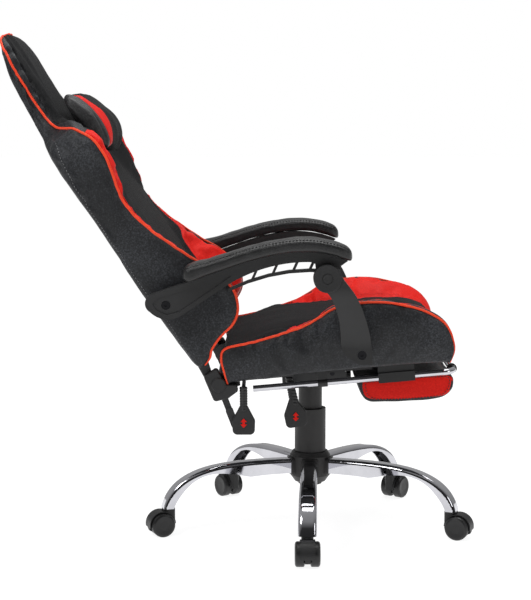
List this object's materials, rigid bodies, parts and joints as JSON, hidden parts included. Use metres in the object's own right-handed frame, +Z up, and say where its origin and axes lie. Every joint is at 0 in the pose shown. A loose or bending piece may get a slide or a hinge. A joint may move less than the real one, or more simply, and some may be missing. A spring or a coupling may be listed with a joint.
{
  "type": "reclining gaming chair",
  "caption": "High-backed racing-style swivel chair with side bolsters, neck pillow, linked armrests, slide-out footrest, gas lift and a five-leg castor base",
  "frame": {"origin": "middle of the overall bounding box at floor level, with the chair as shown: lift down, back reclined, footrest folded and pushed in", "axes": "+X is the way the sitter faces, +Y is the sitter's left, +Z is up"},
  "size_m": [0.9683, 0.6802, 1.045],
  "materials": {
    "chrome": "polished",
    "steel": "satin",
    "black_metal": "satin",
    "black_plastic": "matte",
    "wheel_plastic": "satin",
    "black_mesh": "matte",
    "black_leather": "satin"
  },
  "bodies": {
    "base": {"hub_socket": "black_metal", "hub_cover": "black_plastic", "star_legs": "chrome", "castor_sockets": "black_plastic", "lift_column": "black_metal", "column_cover": "black_plastic", "column_bush": "black_plastic", "thrust_bearing": "steel"},
    "piston": {"piston_rod": "steel"},
    "lift": {"gas_cylinder": "steel", "mech_bracket": "black_metal", "tension_spring": "steel"},
    "button": {"valve_button": "steel"},
    "knob": {"tension_knob": "black_plastic"},
    "seat": {"seat_plate": "black_metal", "seat_bolts": "steel", "seat_pan": "black_metal", "seat_cushion": "black_mesh", "seat_bolsters": "black_leather", "recliner_lower_arms": "black_metal", "recliner_covers": "black_plastic", "rail_guides": "black_plastic"},
    "height_handle": {"height_lever": "black_metal", "height_paddle": "black_plastic"},
    "tilt_handle": {"tilt_lever": "black_metal", "tilt_paddle": "black_plastic"},
    "recline_handle": {"recline_lever": "black_metal"},
    "back": {"recliner_upper_arms": "black_metal", "back_frame": "black_metal", "back_cushion": "black_mesh", "back_wings": "black_leather", "neck_pillow": "black_leather", "pillow_straps": "black_mesh", "arm_rear_bolts": "steel"},
    "arm_right": {"arm_bracket_right": "black_plastic", "arm_pad_right": "black_leather"},
    "arm_left": {"arm_bracket_left": "black_plastic", "arm_pad_left": "black_leather"},
    "strut_right": {"arm_strut_right": "black_plastic", "arm_pivot_right": "steel"},
    "strut_left": {"arm_strut_left": "black_plastic", "arm_pivot_left": "steel"},
    "footrest": {"footrest_rails": "chrome"},
    "foot_pad": {"footrest_board": "black_plastic", "footrest_pad": "black_leather"},
    "castor_1": {"castor_1_hood": "black_plastic", "castor_1_pins": "steel"},
    "wheels_1": {"castor_1_wheels": "wheel_plastic"},
    "castor_2": {"castor_2_hood": "black_plastic", "castor_2_pins": "steel"},
    "wheels_2": {"castor_2_wheels": "wheel_plastic"},
    "castor_3": {"castor_3_hood": "black_plastic", "castor_3_pins": "steel"},
    "wheels_3": {"castor_3_wheels": "wheel_plastic"},
    "castor_4": {"castor_4_hood": "black_plastic", "castor_4_pins": "steel"},
    "wheels_4": {"castor_4_wheels": "wheel_plastic"},
    "castor_5": {"castor_5_hood": "black_plastic", "castor_5_pins": "steel"},
    "wheels_5": {"castor_5_wheels": "wheel_plastic"}
  },
  "joints": [
    {"name": "castor_1_swivel", "type": "hinge", "parent": "base", "child": "castor_1", "pos_m": [0.13139, -0.2957, 0.058], "axis": [0, 0, 1], "continuous": true},
    {"name": "castor_1_roll", "type": "hinge", "parent": "castor_1", "child": "wheels_1", "pos_m": [0.13139, -0.3117, 0.025], "axis": [1, 0, 0], "continuous": true},
    {"name": "castor_2_swivel", "type": "hinge", "parent": "base", "child": "castor_2", "pos_m": [0.43724, -0.09327, 0.058], "axis": [0, 0, 1], "continuous": true},
    {"name": "castor_2_roll", "type": "hinge", "parent": "castor_2", "child": "wheels_2", "pos_m": [0.45208, -0.09926, 0.025], "axis": [0.3746, 0.9272, 0], "continuous": true},
    {"name": "castor_3_swivel", "type": "hinge", "parent": "base", "child": "castor_3", "pos_m": [0.33922, 0.26017, 0.058], "axis": [0, 0, 1], "continuous": true},
    {"name": "castor_3_roll", "type": "hinge", "parent": "castor_3", "child": "wheels_3", "pos_m": [0.34863, 0.27312, 0.025], "axis": [-0.809, 0.5878, 0], "continuous": true},
    {"name": "castor_4_swivel", "type": "hinge", "parent": "base", "child": "castor_4", "pos_m": [-0.0272, 0.27617, 0.058], "axis": [0, 0, 1], "continuous": true},
    {"name": "castor_4_roll", "type": "hinge", "parent": "castor_4", "child": "wheels_4", "pos_m": [-0.03661, 0.28912, 0.025], "axis": [-0.809, -0.5878, 0], "continuous": true},
    {"name": "castor_5_swivel", "type": "hinge", "parent": "base", "child": "castor_5", "pos_m": [-0.15565, -0.06738, 0.058], "axis": [0, 0, 1], "continuous": true},
    {"name": "castor_5_roll", "type": "hinge", "parent": "castor_5", "child": "wheels_5", "pos_m": [-0.17049, -0.07337, 0.025], "axis": [0.3746, -0.9272, 0], "continuous": true},
    {"name": "seat_swivel", "type": "hinge", "parent": "base", "child": "piston", "pos_m": [0.145, 0.016, 0.2], "axis": [0, 0, 1], "continuous": true},
    {"name": "seat_lift", "type": "slide", "parent": "piston", "child": "lift", "axis": [0, 0, 1], "range_m": [0, 0.09]},
    {"name": "valve_press", "type": "slide", "parent": "lift", "child": "button", "axis": [0, 0, -1], "range_m": [0, 0.005], "stiffness_N_per_m": 500, "springref_m": -0.004},
    {"name": "tension_turn", "type": "hinge", "parent": "lift", "child": "knob", "pos_m": [0.215, 0.016, 0.325], "axis": [1, 0, 0], "range_deg": [-180, 180]},
    {"name": "seat_tilt", "type": "hinge", "parent": "lift", "child": "seat", "pos_m": [0.18954, 0.016, 0.33778], "axis": [0, -1, 0], "range_deg": [0, 8], "stiffness_Nm_per_rad": 200, "springref_deg": -22.92},
    {"name": "height_lift", "type": "hinge", "parent": "seat", "child": "height_handle", "pos_m": [0.09676, -0.044, 0.34271], "axis": [-0.9962, 0, -0.0872], "range_deg": [0, 8], "stiffness_Nm_per_rad": 1, "springref_deg": -17.19},
    {"name": "tilt_pull", "type": "slide", "parent": "seat", "child": "tilt_handle", "axis": [0, -1, 0], "range_m": [0, 0.02]},
    {"name": "recline_pull", "type": "hinge", "parent": "seat", "child": "recline_handle", "pos_m": [-0.04384, 0.016, 0.34346], "axis": [0, -1, 0], "range_deg": [0, 25], "stiffness_Nm_per_rad": 1, "springref_deg": -28.65},
    {"name": "recline", "type": "hinge", "parent": "seat", "child": "back", "pos_m": [-0.04384, 0.016, 0.34346], "axis": [0, -1, 0], "range_deg": [-18, 30]},
    {"name": "armrest_right", "type": "hinge", "parent": "back", "child": "arm_right", "pos_m": [-0.14447, -0.26, 0.50983], "axis": [0, -1, 0], "range_deg": [-28, 17]},
    {"name": "strut_right_swing", "type": "hinge", "parent": "seat", "child": "strut_right", "pos_m": [0.23849, -0.247, 0.40932], "axis": [0, -1, 0], "range_deg": [-20, 33]},
    {"name": "armrest_left", "type": "hinge", "parent": "back", "child": "arm_left", "pos_m": [-0.14447, 0.292, 0.50983], "axis": [0, -1, 0], "range_deg": [-28, 17]},
    {"name": "strut_left_swing", "type": "hinge", "parent": "seat", "child": "strut_left", "pos_m": [0.23849, 0.279, 0.40932], "axis": [0, -1, 0], "range_deg": [-20, 33]},
    {"name": "footrest_slide", "type": "slide", "parent": "seat", "child": "footrest", "axis": [0.9962, 0, 0.0872], "range_m": [0, 0.15]},
    {"name": "footrest_flip", "type": "hinge", "parent": "footrest", "child": "foot_pad", "pos_m": [0.43261, 0.016, 0.35905], "axis": [0, -1, 0], "range_deg": [0, 180]}
  ],
  "couplings": [
    {"joint": "valve_press", "follows": "height_lift", "m_per_rad": 0.035},
    {"joint": "armrest_right", "follows": "recline", "ratio": -0.92},
    {"joint": "strut_right_swing", "follows": "recline", "ratio": 1.09},
    {"joint": "armrest_left", "follows": "recline", "ratio": -0.92},
    {"joint": "strut_left_swing", "follows": "recline", "ratio": 1.09}
  ]
}
